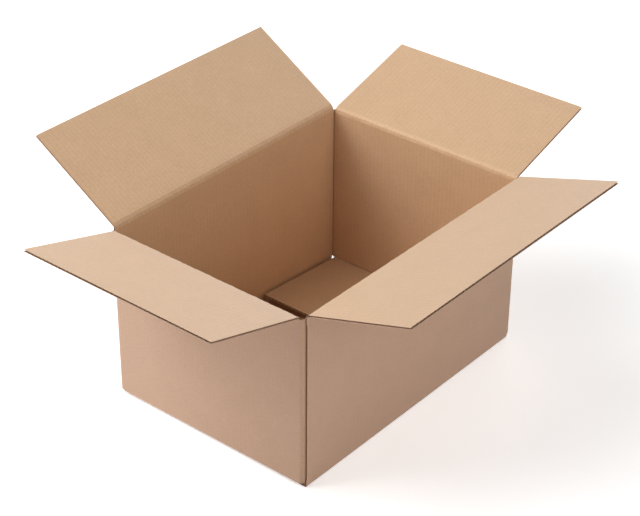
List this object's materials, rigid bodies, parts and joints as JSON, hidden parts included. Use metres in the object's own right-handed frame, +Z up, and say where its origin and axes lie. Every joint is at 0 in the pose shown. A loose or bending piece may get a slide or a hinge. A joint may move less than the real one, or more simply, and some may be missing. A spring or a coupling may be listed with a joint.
{
  "type": "open cardboard box",
  "caption": "Open corrugated cardboard box with four top flaps that fold shut over the opening, and a closed bottom.",
  "frame": {"origin": "centre of the standing face, the underside of the outer bottom flaps", "axes": "+X along the box's length, +Y across its width, +Z up out of the opening"},
  "size_m": [0.716, 0.5797, 0.3252],
  "materials": {
    "kraft_board": "uncoated brown kraft"
  },
  "bodies": {
    "carton": {"carton_body": "kraft_board"},
    "left_flap": {"left_end_flap": "kraft_board"},
    "right_flap": {"right_end_flap": "kraft_board"},
    "front_flap": {"front_side_flap": "kraft_board"},
    "back_flap": {"back_side_flap": "kraft_board"}
  },
  "joints": [
    {"name": "left_end_crease", "type": "hinge", "parent": "carton", "child": "left_flap", "pos_m": [-0.213, 0, 0.2402], "axis": [0, -1, 0], "range_deg": [-164, 96]},
    {"name": "right_end_crease", "type": "hinge", "parent": "carton", "child": "right_flap", "pos_m": [0.213, 0, 0.2402], "axis": [0, 1, 0], "range_deg": [-163.5, 96.5]},
    {"name": "front_side_crease", "type": "hinge", "parent": "carton", "child": "front_flap", "pos_m": [0, -0.153, 0.2435], "axis": [1, 0, 0], "range_deg": [-162.5, 97.5]},
    {"name": "back_side_crease", "type": "hinge", "parent": "carton", "child": "back_flap", "pos_m": [0, 0.153, 0.2435], "axis": [-1, 0, 0], "range_deg": [-148.5, 111.5]}
  ]
}
